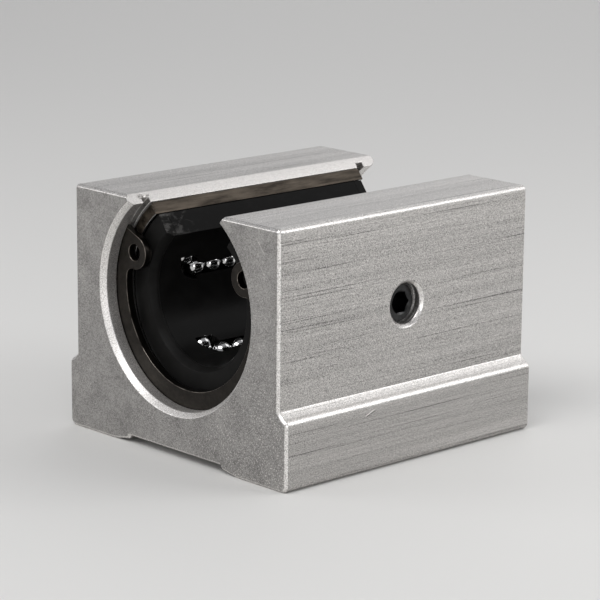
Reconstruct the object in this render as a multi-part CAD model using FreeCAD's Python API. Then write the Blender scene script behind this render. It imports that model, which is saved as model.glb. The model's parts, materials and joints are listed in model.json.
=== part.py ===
import FreeCAD, Part
import math
import os
from collections import namedtuple
from FreeCAD import Vector

# Open linear bearing block for a supported 20 mm shaft, in millimetres.
# X is the width, Y runs along the shaft and Z points up from the mounting face.
# The origin is the middle of the mounting face. The slot for the shaft's support points up.

# Shaft, balls and races
shaft_radius = 10.0
ball_radius = 1.5875
ball_gap = 0.025  # between neighbouring balls of a row
race_gap = 0.02  # between a loaded ball and its race
race_height = 0.8  # each race stands this far in from the sleeve's bore
race_half_angle = 8.0
circuit_positions = 5  # places around the shaft, one of which is the slot
slot_half_angle = 37.0

# Ball cage and seals
cage_shaft_gap = 0.2  # radial, between the shaft and the cage and seals
cage_sleeve_gap = 0.1  # radial, between these and the sleeve
track_gap = 0.0625  # between a ball and the wall of its track
track_island = 0.9  # wall left between the two rows of a circuit
end_wall = 3.4  # of the cage, beyond the turn of each track
stack_gap = 0.02  # between the faces of cage and seal
seal_thickness = 1.55
seal_recess = 0.5
seal_bevel = 0.65
seal_bevel_depth = 1.1

# Sleeve
sleeve_wall = 2.0
sleeve_inset = 4.0  # from the housing's end face to the sleeve's
sleeve_fit = 0.01  # radial, between the sleeve and the housing's bore
sleeve_chamfer = 0.3

# Circlips that hold the sleeve in the housing
circlip_thickness = 1.2
circlip_side_gap = 0.05
circlip_rim_gap = 0.05
circlip_groove_depth = 0.85
circlip_width = 3.4  # at the widest, opposite the slot
circlip_offset = 0.35  # its inner circle lies this far above the shaft's axis
ear_radius = 2.55
ear_hole_radius = 1.25
ear_shaft_gap = 0.45
ear_angle = 30.0  # from the slot's edge round to the ear's hole
ear_fillet = 1.2

# Housing
block_length = 50.0
axis_height = 23.0
side_wall = 6.3  # between the bore and the upper body's side
lip_height = 1.42  # from the edge of the bore up to the top, beside the slot
shoulder_out = 1.7  # the base stands this far out from the upper body
shoulder_step = 0.8  # bevelled step at the foot of the upper body
shoulder_height = 10.2  # base's full height at its side
shoulder_slope = 0.4  # rise of the shoulder's top
shoulder_radius = 1.0
top_radius = 0.7
foot_radius = 1.1
end_chamfer = 0.4
bore_chamfer_out = 0.7
bore_chamfer_depth = 0.85
relief_half_width = 10.0
relief_depth = 1.1
relief_step = 0.3
relief_ramp_width = 3.2
relief_ramp_depth = 0.55

# Tapped holes in the mounting face
mount_hole_radius = 2.5
mount_hole_depth = 12.0
mount_hole_edge_x = 6.5  # from the base's side to the hole's axis
mount_hole_edge_y = 7.5  # from the end face to the hole's axis
mount_countersink = 0.35

# Adjusting screw in the +X side, which bears on the sleeve
screw_hole_radius = 3.0
screw_thread_gap = 0.05
screw_length = 5.0
screw_seat_gap = 0.02
screw_chamfer = 0.33
socket_width = 3.0  # across flats
socket_depth = 2.5
countersink_out = 0.5

# Sizes that follow from the ones above
load_radius = shaft_radius + ball_radius
race_radius = shaft_radius + 2 * ball_radius + race_gap
sleeve_bore_radius = race_radius + race_height
return_radius = sleeve_bore_radius - ball_radius - track_gap
sleeve_radius = sleeve_bore_radius + sleeve_wall
bore_radius = sleeve_radius + sleeve_fit
cage_bore_radius = shaft_radius + cage_shaft_gap
cage_radius = sleeve_bore_radius - cage_sleeve_gap

half_block = block_length / 2
half_sleeve = half_block - sleeve_inset
seal_face = half_sleeve - seal_recess
seal_back = seal_face - seal_thickness

track_half_width = ball_radius + track_gap
turn_radius = track_half_width + track_island / 2
ball_pitch = 2 * ball_radius + ball_gap
turn_reach = max(turn_radius, math.sqrt(max(0, ball_pitch**2 - turn_radius**2)))
half_cage = seal_back - stack_gap
row_room = half_cage - end_wall - track_half_width - turn_reach
balls_per_row = 1 + math.floor(2 * row_room / ball_pitch)
half_row = (balls_per_row - 1) * ball_pitch / 2
half_turn = half_row + turn_reach
half_race = half_turn - track_half_width

circlip_groove_width = circlip_thickness + 2 * circlip_side_gap
circlip_groove_radius = bore_radius + circlip_groove_depth
circlip_radius = circlip_groove_radius - circlip_rim_gap

half_body = bore_radius + side_wall
half_base = half_body + shoulder_out
slot_slope = math.radians(slot_half_angle)
block_height = axis_height + bore_radius * math.cos(slot_slope) + lip_height
shoulder_top = shoulder_height + shoulder_slope + shoulder_step

ALONG = Vector(0, 1, 0)
AXIS = Vector(0, 0, axis_height)
Circuit = namedtuple("Circuit", "load back middle across outward")


def polar(radius, angle, y=0.0):
    """A point at this radius and angle around the shaft's axis, the angle taken from +X towards +Z."""
    turn = math.radians(angle)
    return AXIS + Vector(radius * math.cos(turn), y, radius * math.sin(turn))


def flat_face(points):
    return Part.Face(Part.makePolygon(points + points[:1]))


def along_cylinder(radius, start, end):
    """A cylinder on the shaft's axis from y = start to y = end."""
    return Part.makeCylinder(radius, end - start, AXIS + ALONG * start, ALONG)


def tube(inner, outer, start, end):
    return along_cylinder(outer, start, end).cut(along_cylinder(inner, start, end))


def turned(profile):
    """A body turned about the shaft's axis from corners given as (radius, y)."""
    face = flat_face([AXIS + Vector(0, y, radius) for radius, y in profile])
    return face.revolve(AXIS, ALONG, 360)


def ring_sector(inner, outer, centre_angle, half_angle, start, end):
    """Part of a tube between two radii, within half_angle to each side of centre_angle."""
    low, high = centre_angle - half_angle, centre_angle + half_angle
    rim = Part.Arc(polar(outer, low, start), polar(outer, centre_angle, start), polar(outer, high, start))
    bore = Part.Arc(polar(inner, high, start), polar(inner, centre_angle, start), polar(inner, low, start))
    sides = [
        Part.LineSegment(polar(outer, high, start), polar(inner, high, start)),
        Part.LineSegment(polar(inner, low, start), polar(outer, low, start)),
    ]
    edges = [rim.toShape(), sides[0].toShape(), bore.toShape(), sides[1].toShape()]
    return Part.Face(Part.Wire(edges)).extrude(ALONG * (end - start))


def rounded_outline(corners):
    """A closed wire in the XZ plane through corners given as (x, z, radius)."""
    points = [Vector(x, 0, z) for x, z, radius in corners]
    edges = []
    starts, ends = [], []
    for i, (x, z, radius) in enumerate(corners):
        here = points[i]
        back = (points[i - 1] - here).normalize()
        ahead = (points[(i + 1) % len(points)] - here).normalize()
        half_turn = back.getAngle(ahead) / 2
        run = radius / math.tan(half_turn)
        starts.append(here + back * run)
        ends.append(here + ahead * run)
        if radius:
            bisector = (back + ahead).normalize()
            middle = here + bisector * (radius / math.sin(half_turn) - radius)
            edges.append(Part.Arc(starts[i], middle, ends[i]).toShape())
    for i, start in enumerate(starts):
        edges.append(Part.LineSegment(ends[i - 1], start).toShape())
    return Part.Wire(Part.__sortEdges__(edges))


def slot_wedge():
    """The space that opens the housing, sleeve, cage and seals towards the shaft's support."""
    reach = 2 * block_height
    corners = [AXIS, polar(reach, 90 - slot_half_angle), polar(reach, 90 + slot_half_angle)]
    face = flat_face([corner - ALONG * block_length for corner in corners])
    return face.extrude(ALONG * 2 * block_length)


def circuits():
    """The ball circuits, each with its loaded row, its return row and the plane that holds both.

    The rows lie two turn radii apart, the loaded row against the shaft and the return row clear of it.
    """
    spacing = 2 * turn_radius
    squares = load_radius**2 + return_radius**2 - spacing**2
    spread = math.degrees(math.acos(squares / (2 * load_radius * return_radius)))
    found = []
    for place in range(1, circuit_positions):
        centre = 90 + place * 360 / circuit_positions
        load = polar(load_radius, centre + spread / 2)
        back = polar(return_radius, centre - spread / 2)
        across = (back - load).normalize()
        found.append(Circuit(load, back, (load + back) / 2, across, across.cross(ALONG)))
    return found


def load_angle(circuit):
    offset = circuit.load - AXIS
    return math.degrees(math.atan2(offset.z, offset.x))


def track_section(circuit, centre, floor_chamfer):
    """Section of a ball track, open outwards, with the corners of its floor chamfered."""
    wall = track_half_width
    floor = [(-wall, -wall), (wall, -wall)]
    if floor_chamfer:
        flat = wall - floor_chamfer
        floor = [(-wall, -flat), (-flat, -wall), (flat, -wall), (wall, -flat)]
    outline = [(-wall, sleeve_radius)] + floor + [(wall, sleeve_radius)]
    return flat_face([centre + circuit.across * x + circuit.outward * z for x, z in outline])


def track_space(circuit):
    """The whole loop that a circuit's balls run in.

    The loaded row's floor is open to the shaft, with the chamfers of a regular octagon to keep the balls in.
    """
    bend = ALONG * (half_turn - turn_radius)
    keeping_chamfer = track_half_width * (2 - math.sqrt(2))
    load = track_section(circuit, circuit.load - bend, keeping_chamfer)
    front = track_section(circuit, circuit.back - bend, 0)
    rear = track_section(circuit, circuit.back + bend, 0)
    return [
        load.extrude(bend * 2),
        front.extrude(bend * 2),
        front.revolve(circuit.middle - bend, circuit.outward, -180),
        rear.revolve(circuit.middle + bend, circuit.outward, 180),
    ]


def mirrored(shape):
    """The same piece at the other end of the block."""
    return shape.mirror(Vector(0, 0, 0), ALONG)


def housing_outline():
    """Half of the extrusion's section, from the middle of its relief up to the middle of its top."""
    step_x = relief_half_width + relief_step
    ramp_x = step_x + relief_ramp_width
    half = [
        (relief_half_width, relief_depth, 0),
        (step_x, relief_ramp_depth, 0),
        (ramp_x, 0, 0),
        (half_base, 0, foot_radius),
        (half_base, shoulder_height, shoulder_radius),
        (half_body + shoulder_step, shoulder_height + shoulder_slope, 0),
        (half_body, shoulder_top, 0),
        (half_body, block_height, top_radius),
    ]
    return half + [(-x, z, radius) for x, z, radius in reversed(half)]


def mounting_hole(x, y):
    """A blind tapped hole from the mounting face, with its countersink."""
    foot = Vector(x, y, 0)
    up = Vector(0, 0, 1)
    hole = Part.makeCylinder(mount_hole_radius, mount_hole_depth, foot, up)
    mouth_radius = mount_hole_radius + mount_countersink
    mouth = Part.makeCone(mouth_radius, mount_hole_radius, mount_countersink, foot, up)
    return [hole, mouth]


def housing_block():
    outline = Part.Face(rounded_outline(housing_outline()))
    outline.translate(ALONG * -half_block)
    body = outline.extrude(ALONG * block_length)
    rims = [edge for edge in body.Edges if abs(abs(edge.CenterOfMass.y) - half_block) < 1e-6]
    body = body.makeChamfer(end_chamfer, rims)

    groove = along_cylinder(circlip_groove_radius, half_sleeve, half_sleeve + circlip_groove_width)
    mouth = Part.makeCone(
        bore_radius + bore_chamfer_out,
        bore_radius,
        bore_chamfer_depth,
        AXIS - ALONG * half_block,
        ALONG,
    )
    cuts = [slot_wedge(), along_cylinder(bore_radius, -half_block, half_block)]
    cuts += [groove, mirrored(groove), mouth, mirrored(mouth)]

    out = Vector(1, 0, 0)
    cuts.append(Part.makeCylinder(screw_hole_radius, half_body, AXIS, out))
    cuts.append(
        Part.makeCone(
            screw_hole_radius,
            screw_hole_radius + countersink_out,
            countersink_out,
            AXIS + out * (half_body - countersink_out),
            out,
        )
    )
    hole_x = half_base - mount_hole_edge_x
    hole_y = half_block - mount_hole_edge_y
    for x in (-hole_x, hole_x):
        for y in (-hole_y, hole_y):
            cuts += mounting_hole(x, y)
    return body.cut(cuts)


def bearing_sleeve():
    """Hardened steel sleeve with a race for each loaded row."""
    corners = [
        (sleeve_bore_radius, half_sleeve),
        (sleeve_radius - sleeve_chamfer, half_sleeve),
        (sleeve_radius, half_sleeve - sleeve_chamfer),
    ]
    sleeve = turned(corners + [(radius, -y) for radius, y in reversed(corners)])
    seat_radius = sleeve_bore_radius + sleeve_wall / 4
    races = [
        ring_sector(race_radius, seat_radius, load_angle(c), race_half_angle, -half_race, half_race)
        for c in circuits()
    ]
    return sleeve.fuse(races).cut(slot_wedge()).removeSplitter()


def ball_cage():
    """Moulded cage with an endless track for each circuit and a keyway that clears each race."""
    keyway_radius = race_radius - cage_sleeve_gap
    side_gap = math.degrees(cage_sleeve_gap / race_radius)
    cage = tube(cage_bore_radius, cage_radius, -half_cage, half_cage)
    cuts = [slot_wedge()]
    for circuit in circuits():
        cuts.append(
            ring_sector(
                keyway_radius,
                sleeve_radius,
                load_angle(circuit),
                race_half_angle + side_gap,
                -half_cage,
                half_cage,
            )
        )
        cuts += track_space(circuit)
    return cage.cut(cuts)


def front_seal():
    profile = [
        (cage_radius, -seal_face),
        (cage_bore_radius + seal_bevel, -seal_face),
        (cage_bore_radius, seal_bevel_depth - seal_face),
        (cage_bore_radius, -seal_back),
        (cage_radius, -seal_back),
    ]
    return turned(profile).cut(slot_wedge())


def front_circlip():
    """Internal circlip, widest opposite the slot, with a drilled ear at each end."""
    start = -half_sleeve - circlip_side_gap - circlip_thickness
    end = start + circlip_thickness
    inner_radius = circlip_radius - circlip_width + circlip_offset
    lift = Vector(0, 0, circlip_offset)
    blank = along_cylinder(circlip_radius, start, end)
    inside = along_cylinder(inner_radius, start, end)
    inside.translate(lift)

    ear_centre_radius = shaft_radius + ear_shaft_gap + ear_radius
    reach = 2 * circlip_radius
    ear_places = [90 - slot_half_angle - ear_angle, 90 + slot_half_angle + ear_angle]
    centres = [polar(ear_centre_radius, place, start) for place in ear_places]
    corners = [polar(reach, place, start) for place in (ear_places[0], 90, ear_places[1])]
    mouth = flat_face([AXIS + ALONG * start] + corners)
    band = blank.cut([inside, mouth.extrude(ALONG * circlip_thickness)])

    ears = []
    holes = []
    for centre, place in zip(centres, ear_places):
        out = polar(1, place) - AXIS
        side = out.cross(ALONG) * ear_radius
        tab = flat_face([centre - side, centre + side, centre + side + out * reach, centre - side + out * reach])
        lug = tab.extrude(ALONG * circlip_thickness)
        lug = lug.fuse(Part.makeCylinder(ear_radius, circlip_thickness, centre, ALONG))
        ears.append(lug.common(blank))
        holes.append(Part.makeCylinder(ear_hole_radius, circlip_thickness, centre, ALONG))
    ring = band.fuse(ears).removeSplitter()

    roots = [edge for edge in ring.Edges if is_ear_root(edge, AXIS + lift, inner_radius, centres)]
    return ring.makeFillet(ear_fillet, roots).cut(holes)


def is_ear_root(edge, band_centre, band_radius, ear_centres):
    """Whether an edge is the inner corner where an ear meets the ring's band."""
    middle = Vector(edge.CenterOfMass.x, 0, edge.CenterOfMass.z)
    on_band = abs((middle - band_centre).Length - band_radius) < 1e-4
    ear_gaps = [(middle - Vector(centre.x, 0, centre.z)).Length for centre in ear_centres]
    along = abs(edge.tangentAt(edge.FirstParameter).y) > 0.99
    return on_band and along and min(ear_gaps) < 1.5 * ear_radius


def adjusting_screw():
    """Flat point socket screw, seated on the sleeve."""
    out = Vector(1, 0, 0)
    tip = sleeve_radius + screw_seat_gap
    head = tip + screw_length
    radius = screw_hole_radius - screw_thread_gap
    profile = [
        (tip, 0),
        (tip, radius - screw_chamfer),
        (tip + screw_chamfer, radius),
        (head - screw_chamfer, radius),
        (head, radius - screw_chamfer),
        (head, 0),
    ]
    body = flat_face([AXIS + Vector(x, r, 0) for x, r in profile]).revolve(AXIS, out, 360)

    corner_radius = socket_width / math.sqrt(3)
    floor = AXIS + out * (head - socket_depth)
    turns = [math.radians(60 * i) for i in range(6)]
    corners = [floor + Vector(0, math.cos(turn), math.sin(turn)) * corner_radius for turn in turns]
    return body.cut(flat_face(corners).extrude(out * socket_depth))


def ball():
    """A ball at the origin, drawn as an icosahedron with its corners on the sphere to keep it light."""
    ring_height = ALONG * (ball_radius / math.sqrt(5))
    ring_radius = 2 * ball_radius / math.sqrt(5)
    tip = ALONG * ball_radius
    turns = [math.pi * i / 5 for i in range(10)]
    spokes = [Vector(math.cos(turn), 0, math.sin(turn)) * ring_radius for turn in turns]
    lower = [spoke - ring_height for spoke in spokes[::2]]
    upper = [spoke + ring_height for spoke in spokes[1::2]]
    faces = []
    for i in range(5):
        j = (i + 1) % 5
        faces.append(flat_face([lower[i], lower[j], tip * -1]))
        faces.append(flat_face([lower[i], lower[j], upper[i]]))
        faces.append(flat_face([upper[i], upper[j], lower[j]]))
        faces.append(flat_face([upper[i], upper[j], tip]))
    return Part.Solid(Part.Shell(faces))


def ball_group(places):
    """Balls at these places, as separate solids of one group."""
    blank = ball()
    return Part.makeCompound([blank.translated(place) for place in places])


def row_places(start):
    return [start + ALONG * (i * ball_pitch - half_row) for i in range(balls_per_row)]


pieces = {
    "housing_block": housing_block(),
    "bearing_sleeve": bearing_sleeve(),
    "ball_cage": ball_cage(),
    "front_seal": front_seal(),
    "rear_seal": mirrored(front_seal()),
    "front_circlip": front_circlip(),
    "rear_circlip": mirrored(front_circlip()),
    "adjusting_screw": adjusting_screw(),
}
for number, circuit in enumerate(circuits(), start=1):
    turn = ALONG * half_turn
    pieces[f"circuit_{number}_loaded_balls"] = ball_group(row_places(circuit.load))
    pieces[f"circuit_{number}_return_balls"] = ball_group(row_places(circuit.back))
    pieces[f"circuit_{number}_front_turn_ball"] = ball().translated(circuit.middle - turn)
    pieces[f"circuit_{number}_rear_turn_ball"] = ball().translated(circuit.middle + turn)

os.makedirs("parts", exist_ok=True)
for name, piece in pieces.items():
    piece.exportStep(f"parts/{name}.step")
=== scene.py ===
import json
import math
import random

import bmesh
import bpy
from mathutils import Matrix, Vector


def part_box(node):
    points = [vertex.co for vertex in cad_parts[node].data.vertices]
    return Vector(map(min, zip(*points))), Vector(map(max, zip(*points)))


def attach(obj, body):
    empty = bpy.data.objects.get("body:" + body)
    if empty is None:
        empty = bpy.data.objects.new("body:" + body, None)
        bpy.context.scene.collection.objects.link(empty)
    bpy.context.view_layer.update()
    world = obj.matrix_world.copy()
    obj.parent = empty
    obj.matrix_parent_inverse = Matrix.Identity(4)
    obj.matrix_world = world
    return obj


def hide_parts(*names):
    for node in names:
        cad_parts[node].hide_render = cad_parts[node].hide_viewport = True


# The looks of an open linear bearing block, in metres: finishes, round balls, threads and small wear.

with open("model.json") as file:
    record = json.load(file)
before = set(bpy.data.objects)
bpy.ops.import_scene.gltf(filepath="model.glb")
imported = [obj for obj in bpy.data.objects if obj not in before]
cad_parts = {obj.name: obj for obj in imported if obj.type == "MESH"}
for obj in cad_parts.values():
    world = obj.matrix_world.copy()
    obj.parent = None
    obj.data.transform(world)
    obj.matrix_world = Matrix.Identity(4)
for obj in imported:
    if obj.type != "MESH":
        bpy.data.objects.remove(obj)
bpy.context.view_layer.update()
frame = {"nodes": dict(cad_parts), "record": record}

MM = 0.001
random.seed(7)

# Places and sizes of the object
mounts = {mount["name"]: mount for mount in frame["record"]["mounts"]}
axis_height = mounts["shaft_bore"]["pos_m"][2]
AXIS = Vector((0, 0, axis_height))
SLOT_HALF_ANGLE = math.radians(37)  # from upright out to each flank of the slot
FLANK_FADE = (0.12 * MM, 0.05 * MM)  # how near a flank's plane its finish starts, and is full
BASE_SIDE = 23.8 * MM  # just short of the base's side face
UPPER_SIDE = 22.0 * MM  # just short of the upper body's side face
BORE_REACH = 16.95 * MM  # past the bore, its mouths' chamfers and the circlip grooves
CIRCUITS = 4
BALL_RADIUS = 1.5875 * MM

# Threads and the adjusting screw
THREAD_PITCH = 1.0 * MM
THREAD_DEPTH = 0.55 * MM
THREAD_FLAT = 0.2  # of a pitch, at each crest and each root
THREAD_STEPS = 8  # rings of points in a pitch
HOLE_THREAD_DEPTH = 0.5 * MM
HOLE_THREAD_FADES = 3  # a tapped thread fades out in a pitch divided by this
SCREW_HOLE_RADIUS = 3.0 * MM
SCREW_HOLE_THREAD = 0.22 * MM
SCREW_SIDES = 48
SCREW_CHAMFER = 0.33 * MM
SOCKET_WIDTH = 3.0 * MM
SOCKET_DEPTH = 2.5 * MM
SOCKET_MOUTH = 0.6 * SOCKET_WIDTH  # radius of the chamfer at the socket's mouth
SOCKET_MOUTH_SLOPE = 0.7

# Wear: how far each kind of edge is worn round, and how uneven a torn crumb is
HOUSING_WEAR = 0.12 * MM
SLEEVE_WEAR = 0.12 * MM
CAGE_WEAR = 0.04 * MM
RING_WEAR = 0.08 * MM  # circlips and seals
WORN_ANGLE = math.radians(28)  # edges sharper than this are worn
CRUMB_STRETCH = (0.5, 1.2)
CRUMB_ROUGHNESS = (0.75, 1.15)

# How close counts as the same place, direction or plane
WELD = 0.001 * MM
BALL_WELD = 0.01 * MM
RIM_SLACK = 0.1 * MM
NORMAL_SLACK = 0.05
FLAT_ANGLE = math.radians(0.5)

# Tones of the housing's aluminium, from 0 to 1
SIDE_TONE = 0.45
END_TONES = (0.31, 0.40)
BORE_TONE = 0.74
WORN_TONE = 0.80
FLANK_TONE = 0.50
# Painted highlight: a lift in tone on the sloping shoulder, which is the same extruded surface as the
# sides
SHOULDER_HIGHLIGHT = 0.15

# Small marks: two ends and a width, in millimetres
SCRATCH = ((17.4, 35.8), (19.7, 32.9), 0.04)  # across and up, on the end faces
# The nick is drawn only in colour: a painted highlight line and, beside it, a painted shadow line
NICK_HIGHLIGHT = ((-9.9, 8.4), (-7.7, 9.25), 0.05)  # along and up, on the base's right side
NICK_SHADE = ((-9.8, 8.2), (-7.5, 9.1), 0.04)

# The photograph's view
CAMERA_AZIMUTH = math.radians(46.886)
CAMERA_ELEVATION = math.radians(13.34)
CAMERA_ROLL = math.radians(0.471)
CAMERA_DISTANCE = 0.3973
CAMERA_TARGET = Vector((0, 0, 0.0195))
CAMERA_OFFSET = (0.085 * MM, -0.096 * MM)  # across and up in the picture
CAMERA_LENS = 159.5
CAMERA_SENSOR = 36
CAMERA_NEAR = 0.01

FLOOR_REACH = 3.0
FLOOR_COLOUR = (0.72, 0.715, 0.70, 1)
WORLD_COLOUR = (0.32, 0.32, 0.33, 1)


def make_camera():
    camera = bpy.data.objects.new("camera", bpy.data.cameras.new("camera"))
    bpy.context.scene.collection.objects.link(camera)
    level = math.cos(CAMERA_ELEVATION)
    forward = Vector(
        (
            -math.sin(CAMERA_AZIMUTH) * level,
            math.cos(CAMERA_AZIMUTH) * level,
            -math.sin(CAMERA_ELEVATION),
        )
    )
    side = Vector((math.cos(CAMERA_AZIMUTH), math.sin(CAMERA_AZIMUTH), 0))
    top = side.cross(forward)
    right = side * math.cos(CAMERA_ROLL) + top * math.sin(CAMERA_ROLL)
    up = top * math.cos(CAMERA_ROLL) - side * math.sin(CAMERA_ROLL)
    across, raised = CAMERA_OFFSET
    place = CAMERA_TARGET - forward * CAMERA_DISTANCE - right * across - up * raised
    turn = Matrix((right, up, -forward)).transposed().to_4x4()
    camera.matrix_world = Matrix.Translation(place) @ turn
    camera.data.lens = CAMERA_LENS
    camera.data.sensor_width = CAMERA_SENSOR
    camera.data.clip_start = CAMERA_NEAR
    bpy.context.scene.camera = camera


class Shader:
    """A Principled material with short calls to add and join nodes."""

    def __init__(self, name, inputs):
        self.material = bpy.data.materials.new(name)
        self.material.use_nodes = True
        self.tree = self.material.node_tree
        self.principled = self.tree.nodes["Principled BSDF"]
        for key, value in inputs.items():
            self.principled.inputs[key].default_value = value
        self.coords = self.tree.nodes.new("ShaderNodeTexCoord")

    def node(self, kind, inputs, **settings):
        made = self.tree.nodes.new(kind)
        for key, value in settings.items():
            setattr(made, key, value)
        for key, value in inputs.items():
            self.put(made.inputs[key], value)
        return made

    def put(self, socket, value):
        if isinstance(value, bpy.types.NodeSocket):
            self.tree.links.new(value, socket)
        else:
            socket.default_value = value

    def math(self, operation, a, b=0.0, clamp=False):
        inputs = {0: a, 1: b}
        return self.node("ShaderNodeMath", inputs, operation=operation, use_clamp=clamp).outputs[0]

    def add(self, total, *others):
        for other in others:
            total = self.math("ADD", total, other)
        return total

    def multiply(self, a, b):
        return self.math("MULTIPLY", a, b)

    def subtract(self, a, b, clamp=False):
        return self.math("SUBTRACT", a, b, clamp)

    def size(self, value):
        """The value without its sign."""
        return self.math("ABSOLUTE", value)

    def ramp(self, value, low, high, out_low=0.0, out_high=1.0):
        """From out_low to out_high as the value goes from low to high."""
        return self.node(
            "ShaderNodeMapRange",
            {"Value": value, "From Min": low, "From Max": high, "To Min": out_low, "To Max": out_high},
        ).outputs[0]

    def swing(self, value, amount, low=0.3, high=0.7):
        """From -amount to amount as the value goes from low to high."""
        return self.ramp(value, low, high, -amount, amount)

    def noise(self, scale, detail, roughness, distortion=0.0, offset=(0, 0, 0)):
        """Noise with this many cells per metre, one number or one for each axis."""
        cells = scale if isinstance(scale, tuple) else (scale, scale, scale)
        mapped = self.node(
            "ShaderNodeMapping",
            {"Vector": self.coords.outputs["Object"], "Scale": cells, "Location": offset},
        )
        texture = self.node(
            "ShaderNodeTexNoise",
            {
                "Vector": mapped.outputs[0],
                "Scale": 1.0,
                "Detail": detail,
                "Roughness": roughness,
                "Distortion": distortion,
            },
        )
        return texture.outputs[0]

    def mix(self, factor, a, b):
        """A mix of two numbers."""
        made = self.node("ShaderNodeMix", {0: factor, 2: a, 3: b}, data_type="FLOAT")
        return made.outputs[0]

    def mix_colour(self, factor, a, b):
        made = self.node("ShaderNodeMix", {0: factor, 6: a, 7: b}, data_type="RGBA")
        return made.outputs[2]

    def rgb(self, tone, warmth=0.0):
        """A grey of this tone, warmer where warmth is above 0."""
        red = self.multiply(tone, 1 + warmth)
        blue = self.multiply(tone, 1 - warmth)
        return self.node("ShaderNodeCombineColor", {0: red, 1: tone, 2: blue}).outputs[0]

    def bump(self, height, distance, strength):
        inputs = {"Height": height, "Distance": distance, "Strength": strength}
        return self.node("ShaderNodeBump", inputs).outputs[0]

    def place(self):
        """Where a point lies on the object: across, along and up."""
        return self.node("ShaderNodeSeparateXYZ", {0: self.coords.outputs["Object"]}).outputs

    def facing(self):
        """Which way a face points: across, along and up."""
        return self.node("ShaderNodeSeparateXYZ", {0: self.coords.outputs["Normal"]}).outputs

    def facing_end(self):
        """1 where a face is square to the shaft, less as it turns, and 0 along the shaft."""
        return self.size(self.facing()[1])

    def ends(self):
        """1 on the end faces only."""
        return self.ramp(self.facing_end(), 0.86, 0.94)

    def slot_flanks(self):
        """1 on the two flanks of the slot, on every piece that it cuts through."""
        x, y, z = self.place()
        across = self.multiply(self.size(x), math.cos(SLOT_HALF_ANGLE))
        above = self.multiply(self.subtract(z, axis_height), math.sin(SLOT_HALF_ANGLE))
        return self.ramp(self.size(self.subtract(across, above)), *FLANK_FADE)

    def line_mark(self, start, end, width, u, v):
        """1 along a thin line between two points, given in millimetres on the plane of u and v."""
        run = Vector(end) - Vector(start)
        length = run.length
        du, dv = run / length
        near_u = self.subtract(u, start[0] * MM)
        near_v = self.subtract(v, start[1] * MM)
        along = self.add(self.multiply(near_u, du), self.multiply(near_v, dv))
        off = self.subtract(self.multiply(near_u, dv), self.multiply(near_v, du))
        thin = self.ramp(self.size(off), width * 2 * MM, width * MM)
        from_middle = self.size(self.subtract(along, length / 2 * MM))
        return self.multiply(thin, self.ramp(from_middle, length / 2 * MM, length / 4 * MM))

    def use(self, colour, roughness, normal):
        self.put(self.principled.inputs["Base Color"], colour)
        self.put(self.principled.inputs["Roughness"], roughness)
        self.put(self.principled.inputs["Normal"], normal)
        return self.material


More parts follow.
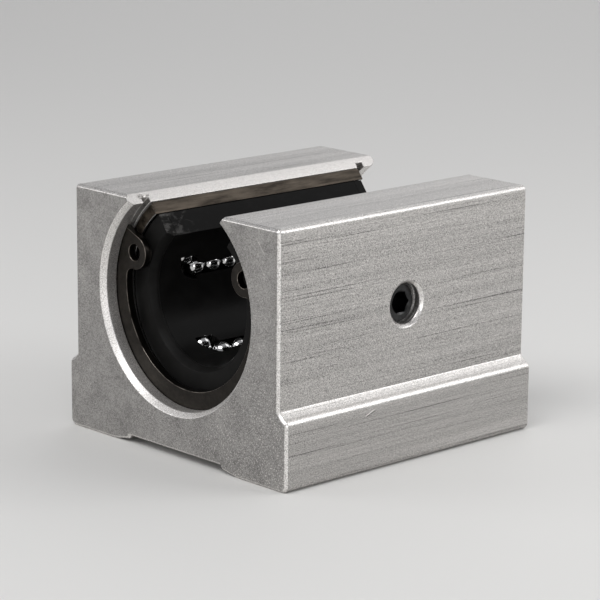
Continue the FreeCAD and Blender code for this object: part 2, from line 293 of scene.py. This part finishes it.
class HousingShader(Shader):
    """Extruded aluminium: fine grain, streaks along the block, blasted ends, bright machined edges."""

    def __init__(self):
        super().__init__("housing_aluminium", {"Metallic": 1.0})
        self.x, self.y, self.z = self.place()
        self.grain = self.noise(9000, 1, 0.5)
        self.grit = self.noise(4300, 2, 0.6, offset=(2, 7, 1))
        self.streak = self.noise((3400, 20, 3400), 4, 0.65)
        self.line = self.noise((5200, 26, 5200), 2, 0.5, offset=(11, 4, 9))
        self.grained = self.add(
            self.swing(self.grain, 0.22, 0.36, 0.64),
            self.swing(self.grit, 0.07, 0.35, 0.65),
        )
        self.clouded = self.clouds_and_specks()
        self.end = self.ends()
        not_end = self.subtract(1.0, self.end)
        self.end_edge = self.multiply(self.ramp(self.facing_end(), 0.25, 0.4), not_end)
        self.bore = self.multiply(self.near_axis(), not_end)
        self.flank = self.slot_flanks()

    def near_axis(self):
        """1 as far from the shaft's axis as the bore and its grooves reach."""
        above = self.subtract(self.z, axis_height)
        squares = self.add(self.multiply(self.x, self.x), self.multiply(above, above))
        return self.ramp(self.math("SQRT", squares), BORE_REACH + 0.15 * MM, BORE_REACH)

    def on_shoulder(self):
        """1 on the sloping step outside the upper body."""
        upward = self.facing()[2]
        slope = self.multiply(self.ramp(upward, 0.2, 0.45), self.ramp(upward, 0.995, 0.97))
        outside = self.ramp(self.size(self.x), UPPER_SIDE, UPPER_SIDE + 0.4 * MM)
        return self.multiply(slope, outside)

    def clouds_and_specks(self):
        """Soft clouds, and specks that brighten towards the foot of the right side."""
        cloud = self.noise(240, 4, 0.6, offset=(5, 5, 5))
        speck = self.ramp(self.noise(4600, 1, 0.5, offset=(1, 2, 3)), 0.58, 0.70)
        patch = self.ramp(self.noise(110, 2, 0.5, offset=(8, 2, 6)), 0.4, 0.6, -0.08, 0.10)
        toward_corner = self.ramp(self.subtract(self.x, self.z), -20 * MM, 20 * MM, 0.04, 0.45)
        specked = self.multiply(speck, self.add(patch, toward_corner))
        return self.add(self.swing(cloud, 0.06), specked)

    def side_tone(self):
        """Streaks and dark drawn lines along the block, a nick drawn as a painted highlight beside a
        painted shadow, and a painted highlight on the sloping shoulder.
        """
        band = self.noise((420, 7, 420), 3, 0.5, offset=(3, 1, 2))
        streaked = self.add(
            self.swing(self.streak, 0.05, 0.35, 0.65),
            self.swing(band, 0.04, 0.35, 0.65),
            self.ramp(self.line, 0.39, 0.29, 0.0, -0.26),
        )
        # The nick: a painted highlight line beside a painted shadow line, on the base's right side only
        bright = self.multiply(self.line_mark(*NICK_HIGHLIGHT, self.y, self.z), 0.4)
        nick_shadow = self.multiply(self.line_mark(*NICK_SHADE, self.y, self.z), 0.25)
        right_side = self.ramp(self.x, BASE_SIDE, BASE_SIDE + 0.1 * MM)
        painted_nick = self.multiply(self.subtract(bright, nick_shadow), right_side)
        # Painted highlight: the sloping shoulder is made paler than the sides
        painted_shoulder_highlight = self.multiply(self.on_shoulder(), SHOULDER_HIGHLIGHT)
        return self.add(streaked, self.grained, SIDE_TONE, painted_nick, painted_shoulder_highlight)

    def end_tone(self):
        """A blasted face, finely speckled, with one faint scratch."""
        blasted = self.add(
            self.multiply(self.grained, 0.5),
            self.ramp(self.grit, 0.36, 0.64, *END_TONES),
        )
        scratched = self.multiply(self.line_mark(*SCRATCH, self.x, self.z), 0.2)
        return self.add(self.clouded, blasted, scratched)

    def height(self):
        """What the bump follows: streaks and lines on the sides, grit on the ends and in the bore."""
        sides = self.add(self.streak, self.multiply(self.line, 0.6))
        outside = self.mix(self.end, sides, self.multiply(self.grit, 1.4))
        return self.add(self.mix(self.bore, outside, self.grit), self.multiply(self.grain, 0.5))

    def finish(self):
        worn = self.multiply(self.end_edge, self.ramp(self.grit, 0.3, 0.55, 0.5, 1.0))
        tone = self.mix(self.end, self.side_tone(), self.end_tone())
        tone = self.mix(self.bore, tone, self.add(self.clouded, self.grained, BORE_TONE))
        tone = self.mix(worn, tone, self.add(self.grained, WORN_TONE))
        tone = self.mix(self.flank, tone, self.add(self.multiply(self.grained, 0.4), FLANK_TONE))

        side_rough = self.ramp(self.streak, 0.3, 0.7, 0.36, 0.46)
        end_rough = self.ramp(self.grit, 0.3, 0.7, 0.42, 0.54)
        rough = self.mix(self.end, side_rough, end_rough)
        rough = self.mix(self.math("MAXIMUM", worn, self.flank), rough, 0.36)
        rough = self.mix(self.subtract(self.bore, self.flank, clamp=True), rough, 0.5)
        return self.use(self.rgb(tone, 0.03), rough, self.bump(self.height(), 0.012 * MM, 0.8))


def sleeve_finish():
    """Ground bearing steel, dull and brownish at its ends and where the slot was cut."""
    s = Shader("sleeve_steel", {"Metallic": 1.0})
    dulled = s.math("MAXIMUM", s.slot_flanks(), s.ends())
    stain = s.noise((900, 160, 900), 4, 0.6)
    line = s.noise((4200, 60, 4200), 3, 0.6, offset=(2, 3, 4))
    ground = s.add(s.swing(line, 0.05), 0.42)
    dull = s.add(s.ramp(stain, 0.35, 0.7, 0.02, 0.09), s.ramp(line, 0.3, 0.7, -0.01, 0.02))
    rough = s.mix(dulled, 0.22, s.ramp(stain, 0.3, 0.7, 0.34, 0.5))
    colour = s.mix_colour(dulled, s.rgb(ground, 0.01), s.rgb(dull, 0.2))
    return s.use(colour, rough, s.bump(line, 0.01 * MM, 0.6))


def steel_finish(name, value, warmth, roughness, scale, edge_highlight_value=None):
    """Blackened steel; where an edge tone is given, the edges between its faces get a patchy painted
    highlight.
    """
    s = Shader(name, {"Metallic": 1.0})
    line = s.noise(scale, 3, 0.6)
    cloud = s.noise(420, 3, 0.6)
    tone = s.multiply(s.add(s.swing(line, 0.2), s.swing(cloud, 0.2), 1.0), value)
    if edge_highlight_value:
        facing_end = s.facing_end()
        # Painted highlight: the bevelled edges between the faces are made lighter, in cloudy patches
        edge = s.multiply(s.ramp(facing_end, 0.15, 0.35), s.ramp(facing_end, 0.98, 0.9))
        tone = s.mix(s.multiply(edge, s.ramp(cloud, 0.35, 0.6)), tone, edge_highlight_value)
    rough = s.ramp(cloud, 0.3, 0.7, roughness - 0.05, roughness + 0.05)
    return s.use(s.rgb(tone, warmth), rough, s.bump(line, 0.008 * MM, 0.5))


def resin_finish(name, value, roughness, grain_scale, smear):
    """Black moulded resin, with pale smears from rubbing where the slot cuts it, mostly near the front.
    """
    s = Shader(name, {"IOR": 1.45, "Specular IOR Level": 0.08})
    cut = s.slot_flanks()
    cloud = s.noise(300, 4, 0.6)
    grain = s.noise(grain_scale, 3, 0.6)
    smudge = s.noise((900, 420, 700), 5, 0.7, 0.6)
    rub = s.multiply(s.ramp(smudge, 0.5, 0.66), cut)
    rub = s.multiply(rub, s.ramp(s.place()[1], -14.5 * MM, -16.5 * MM, 0.05, 1.0))
    tone = s.add(s.ramp(cloud, 0.3, 0.7, value * 0.7, value * 1.3), s.multiply(rub, smear))
    clouded = s.ramp(cloud, 0.3, 0.7, roughness - 0.04, roughness + 0.06)
    rough = s.add(clouded, s.multiply(cut, 0.2))
    return s.use(s.rgb(tone, 0.03), rough, s.bump(grain, 0.006 * MM, 0.5))


def ball_finish():
    """Polished steel."""
    s = Shader("ball_steel", {"Metallic": 1.0})
    cloud = s.noise(900, 2, 0.5)
    colour = s.rgb(s.ramp(cloud, 0.3, 0.7, 0.62, 0.72))
    return s.use(colour, s.ramp(cloud, 0.3, 0.7, 0.06, 0.12), s.bump(cloud, 0.002 * MM, 0.3))


def new_piece(name, bm, finish, body="block", sharp_angle=50):
    """A piece from mesh code, shaded smooth up to the given angle between faces."""
    for edge in bm.edges:
        edge.smooth = not edge.is_manifold or edge.calc_face_angle(0) < math.radians(sharp_angle)
    mesh = bpy.data.meshes.new(name)
    bm.to_mesh(mesh)
    bm.free()
    if "custom_normal" in mesh.attributes:
        mesh.attributes.remove(mesh.attributes["custom_normal"])
    for polygon in mesh.polygons:
        polygon.use_smooth = True
    mesh.materials.clear()
    mesh.materials.append(finish)
    piece = bpy.data.objects.new(name, mesh)
    bpy.context.scene.collection.objects.link(piece)
    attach(piece, body)
    return piece


def softened(node, finish, width, work=None):
    """Stands for a CAD node as a copy with its sharp edges worn round by this width."""
    bm = bmesh.new()
    bm.from_mesh(frame["nodes"][node].data)
    bmesh.ops.remove_doubles(bm, verts=bm.verts, dist=WELD)
    bmesh.ops.dissolve_limit(bm, angle_limit=FLAT_ANGLE, verts=bm.verts, edges=bm.edges)
    sharp = [edge for edge in bm.edges if edge.is_manifold and edge.calc_face_angle() > WORN_ANGLE]
    bmesh.ops.bevel(
        bm,
        geom=sharp,
        offset=width,
        offset_type="OFFSET",
        segments=2,
        profile=0.5,
        affect="EDGES",
        clamp_overlap=False,
    )
    if work:
        work(bm)
    piece = new_piece(node + "_softened", bm, finish)
    piece.modifiers.new("flat_faces", "WEIGHTED_NORMAL").keep_sharp = True
    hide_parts(node)


def thread_depth(pitches):
    """Depth from 0 to 1 after this many pitches along a thread."""
    from_crest = abs(2 * (pitches % 1.0) - 1)
    return min(max((from_crest - THREAD_FLAT) / (1 - 2 * THREAD_FLAT), 0.0), 1.0)


def band(bm, low, high):
    """A closed row of quads between two rings of corners."""
    for i in range(len(low)):
        bm.faces.new((low[i - 1], low[i], high[i], high[i - 1]))


def hole_wall(bm, centre, along, radius):
    """The wall faces of a round hole."""
    found = []
    for face in bm.faces:
        offset = face.calc_center_median() - centre
        from_axis = offset - along * offset.dot(along)
        upright = abs(face.normal.dot(along)) < NORMAL_SLACK
        if upright and offset.dot(along) > 0 and from_axis.length < radius + WELD:
            found.append(face)
    return found


def tap(bm, wall, centre, along, depth):
    """Swaps the wall between two level rims of a round hole for one with a thread cut outwards."""
    across = along.orthogonal().normalized()
    beside = along.cross(across)

    def turn_and_height(corner):
        offset = corner.co - centre
        return math.atan2(offset.dot(beside), offset.dot(across)), offset.dot(along)

    def rim(height):
        found = [corner for corner in corners if abs(turn_and_height(corner)[1] - height) < RIM_SLACK]
        return sorted(found, key=turn_and_height)

    corners = {corner for face in wall for corner in face.verts}
    heights = [turn_and_height(corner)[1] for corner in corners]
    low, high = min(heights), max(heights)
    start, mouth = rim(low), rim(high)

    def threaded(height):
        """The mouth's rim moved to this height, and out as far as the thread goes there."""
        fade = min(1.0, HOLE_THREAD_FADES * min(height - low, high - height) / THREAD_PITCH)
        ring = []
        for corner in mouth:
            turn, level = turn_and_height(corner)
            spoke = corner.co - centre - along * level
            cut = fade * depth * thread_depth(height / THREAD_PITCH - turn / (2 * math.pi))
            place = centre + along * height + spoke.normalized() * (spoke.length + cut)
            ring.append(bm.verts.new(place))
        return ring

    links = [(corner, edge) for corner in start for edge in corner.link_edges]
    seam = dict.fromkeys(edge for corner, edge in links if edge.other_vert(corner) in start)
    bmesh.ops.delete(bm, geom=wall, context="FACES")
    rows = round((high - low) / THREAD_PITCH * THREAD_STEPS)
    above = mouth
    for row in reversed(range(1, rows)):
        ring = threaded(low + (high - low) * row / rows)
        band(bm, ring, above)
        above = ring
    last = [bm.edges.get((corner, above[i - 1])) for i, corner in enumerate(above)]
    bmesh.ops.bridge_loops(bm, edges=[edge for edge in (*seam, *last) if edge.is_valid])


def tap_housing(bm):
    """Threads in the four mounting holes and at the mouth of the adjusting screw's hole."""
    holes = mounts["mounting_holes"]["dims"]
    half_x = holes["spacing_x_mm"] * MM / 2
    half_y = holes["spacing_y_mm"] * MM / 2
    radius = holes["hole_r_mm"] * MM
    up = Vector((0, 0, 1))
    for x in (-half_x, half_x):
        for y in (-half_y, half_y):
            centre = Vector((x, y, 0))
            tap(bm, hole_wall(bm, centre, up, radius), centre, up, HOLE_THREAD_DEPTH)

    out = Vector((1, 0, 0))
    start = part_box("adjusting_screw")[1][0] - THREAD_PITCH
    wall = hole_wall(bm, AXIS, out, SCREW_HOLE_RADIUS)
    around = dict.fromkeys(part for face in wall for part in (*face.edges, *face.verts))
    cut = [*wall, *around]
    bmesh.ops.bisect_plane(bm, geom=cut, plane_co=(start, 0, 0), plane_no=out, dist=WELD)
    wall = hole_wall(bm, AXIS, out, SCREW_HOLE_RADIUS)
    mouth = [face for face in wall if face.calc_center_median().x > start]
    tap(bm, mouth, AXIS, out, SCREW_HOLE_THREAD)
    bmesh.ops.recalc_face_normals(bm, faces=bm.faces)


def crumbs(name, finish, places, size):
    """Small torn crumbs of metal, one at each place."""
    bm = bmesh.new()
    for place in places:
        at_place = Matrix.Translation(place)
        made = bmesh.ops.create_icosphere(bm, subdivisions=2, radius=size, matrix=at_place)
        stretch = [random.uniform(*CRUMB_STRETCH) for axis in range(3)]
        for corner in made["verts"]:
            offset = (corner.co - place) * random.uniform(*CRUMB_ROUGHNESS)
            corner.co = place + Vector([o * k for o, k in zip(offset, stretch)])
    new_piece(name, bm, finish, sharp_angle=25)


def along_flank(count, radii, ys, outset):
    """Random places by the slot's left flank, in millimetres out from the axis and along it."""
    slope = Vector((-math.sin(SLOT_HALF_ANGLE), 0, math.cos(SLOT_HALF_ANGLE)))
    into_slot = Vector((math.cos(SLOT_HALF_ANGLE), 0, math.sin(SLOT_HALF_ANGLE)))
    places = []
    for i in range(count):
        radius = random.uniform(*radii) * MM
        y = random.uniform(*ys) * MM
        places.append(AXIS + slope * radius + into_slot * outset + Vector((0, y, 0)))
    return places


def torn_edges(aluminium, steel):
    """Crumbs where the circlip's groove breaks out of the left lip, and on the sleeve's cut corner."""
    lip = along_flank(14, radii=(16.9, 17.35), ys=(-22.7, -20.8), outset=0.02 * MM)
    crumbs("lip_crumbs", aluminium, lip, 0.2 * MM)
    corner = along_flank(16, radii=(14.3, 15.8), ys=(-20.95, -20.6), outset=-0.06 * MM)
    crumbs("sleeve_corner_crumbs", steel, corner, 0.12 * MM)


def skin(bm, rings):
    """Quads between rings of equal length, closed by a fan at each end."""
    made = [[bm.verts.new(point) for point in ring] for ring in rings]
    for low, high in zip(made, made[1:]):
        band(bm, low, high)
    for ring in (made[0], made[-1]):
        middle = bm.verts.new(sum((corner.co for corner in ring), Vector()) / len(ring))
        for i, corner in enumerate(ring):
            bm.faces.new((ring[i - 1], corner, middle))
    bmesh.ops.recalc_face_normals(bm, faces=bm.faces)


def screw_rings(low, high):
    """The adjusting screw's rings, from its tip along the thread and down into the hexagon socket."""
    tip, head = low[0], high[0]
    crest = (high[1] - low[1]) / 2
    turns = [2 * math.pi * i / SCREW_SIDES for i in range(SCREW_SIDES)]

    def ring(x_at, radius_at):
        points = []
        for turn in turns:
            radius = radius_at(turn)
            y, z = radius * math.cos(turn), axis_height + radius * math.sin(turn)
            points.append(Vector((x_at(turn), y, z)))
        return points

    def threaded(x):
        end_limit = crest - SCREW_CHAMFER + min(x - tip, head - x)

        def radius_at(turn):
            depth = THREAD_DEPTH * thread_depth((x - tip) / THREAD_PITCH - turn / (2 * math.pi))
            return min(crest - depth, end_limit)

        return ring(lambda turn: x, radius_at)

    def hexagon(turn):
        return SOCKET_WIDTH / 2 / math.cos(turn % (math.pi / 3) - math.pi / 6)

    steps = round((head - tip) / THREAD_PITCH * THREAD_STEPS)
    rings = [threaded(tip + (head - tip) * i / steps) for i in range(steps + 1)]
    rings.append(ring(lambda turn: head, lambda turn: SOCKET_MOUTH))
    rings.append(ring(lambda turn: head - (SOCKET_MOUTH - hexagon(turn)) * SOCKET_MOUTH_SLOPE, hexagon))
    rings.append(ring(lambda turn: head - SOCKET_DEPTH, hexagon))
    return rings


def detailed_screw(finish):
    """The adjusting screw with its thread, its chamfered ends and its hexagon socket."""
    bm = bmesh.new()
    skin(bm, screw_rings(*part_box("adjusting_screw")))
    name = "adjusting_screw_detailed"
    piece = new_piece(name, bm, finish, body="screw", sharp_angle=32)
    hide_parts("adjusting_screw")


def solid_centres(node):
    """The centre of each separate solid of a CAD node, from its corners that join up."""
    bm = bmesh.new()
    bm.from_mesh(frame["nodes"][node].data)
    bmesh.ops.remove_doubles(bm, verts=bm.verts, dist=BALL_WELD)
    centres = []
    left = dict.fromkeys(bm.verts)
    while left:
        group, reached = [], [left.popitem()[0]]
        while reached:
            corner = reached.pop()
            group.append(corner)
            for link in corner.link_edges:
                other = link.other_vert(corner)
                if other in left:
                    del left[other]
                    reached.append(other)
        centres.append(sum((corner.co for corner in group), Vector()) / len(group))
    bm.free()
    return sorted(centres, key=lambda c: (round(c.y, 5), c.x))


def round_balls(node, finish):
    """Round balls at the places of a CAD node's flat-sided ones."""
    bm = bmesh.new()
    for centre in solid_centres(node):
        at_centre = Matrix.Translation(centre)
        bmesh.ops.create_icosphere(bm, subdivisions=4, radius=BALL_RADIUS, matrix=at_centre)
    piece = new_piece(node + "_round", bm, finish)
    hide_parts(node)


def make_stage():
    low, high = -FLOOR_REACH, FLOOR_REACH
    floor = bpy.data.meshes.new("floor")
    corners = [(low, low, 0), (high, low, 0), (high, high, 0), (low, high, 0)]
    floor.from_pydata(corners, [], [(0, 1, 2, 3)])
    plane = bpy.data.objects.new("floor", floor)
    bpy.context.scene.collection.objects.link(plane)
    paper = {"Roughness": 0.7, "Specular IOR Level": 0.2, "Base Color": FLOOR_COLOUR}
    floor.materials.append(Shader("floor_paper", paper).material)


def area_light(name, place, target, size, power):
    """A soft lamp that the camera doesn't see."""
    lamp = bpy.data.lights.new(name, "AREA")
    lamp.shape = "RECTANGLE"
    lamp.size, lamp.size_y = size
    lamp.energy = power
    made = bpy.data.objects.new(name, lamp)
    made.location = place
    made.rotation_euler = (Vector(target) - Vector(place)).to_track_quat("-Z", "Y").to_euler()
    made.visible_camera = False
    bpy.context.scene.collection.objects.link(made)


def make_lights():
    """Even studio light, with two low lamps on the floor patches that the metal's sides mirror."""
    world = bpy.data.worlds.new("studio")
    bpy.context.scene.world = world
    world.use_nodes = True
    background = world.node_tree.nodes["Background"]
    background.inputs["Color"].default_value = WORLD_COLOUR
    background.inputs["Strength"].default_value = 1.0
    area_light("overhead", (0.15, -0.4, 0.65), (0, 0, 0.02), size=(0.5, 0.35), power=2.4)
    area_light("back_top", (-0.05, 0.62, 0.58), (0, 0, 0.03), size=(1.1, 0.45), power=1.6)
    area_light("right", (0.25, 0.20, 0.16), (0.14, 0.09, 0), size=(0.2, 0.2), power=0.42)
    area_light("front_left", (-0.24, -0.26, 0.16), (-0.12, -0.13, 0), size=(0.2, 0.2), power=0.26)
    area_light("front_right", (0.7, -0.5, 0.14), (0, 0, 0.02), size=(0.25, 0.2), power=1.0)
    area_light("back_left", (-0.6, 0.55, 0.3), (0, 0, 0.03), size=(0.4, 0.3), power=0.25)


def dress_housing_and_sleeve():
    aluminium = HousingShader().finish()
    steel = sleeve_finish()
    softened("housing_block", aluminium, HOUSING_WEAR, tap_housing)
    softened("bearing_sleeve", steel, SLEEVE_WEAR)
    torn_edges(aluminium, steel)


def dress_small_pieces():
    # The circlips' edges carry a painted highlight
    circlip = steel_finish(
        "circlip_steel", value=0.024, warmth=0.12, roughness=0.36, scale=1600, edge_highlight_value=0.25
    )
    softened("front_circlip", circlip, RING_WEAR)
    softened("rear_circlip", circlip, RING_WEAR)
    cage = resin_finish("cage_resin", value=0.005, roughness=0.34, grain_scale=2200, smear=0.05)
    softened("ball_cage", cage, CAGE_WEAR)
    seal = resin_finish("seal_resin", value=0.008, roughness=0.42, grain_scale=5200, smear=0.08)
    softened("front_seal", seal, RING_WEAR)
    softened("rear_seal", seal, RING_WEAR)
    detailed_screw(steel_finish("screw_oxide", value=0.04, warmth=0.0, roughness=0.32, scale=2000))
    balls = ball_finish()
    for number in range(1, CIRCUITS + 1):
        for group in ("loaded_balls", "return_balls", "front_turn_ball", "rear_turn_ball"):
            round_balls(f"circuit_{number}_{group}", balls)


bpy.context.scene.view_settings.view_transform = "Standard"
make_camera()
dress_housing_and_sleeve()
dress_small_pieces()
make_stage()
make_lights()
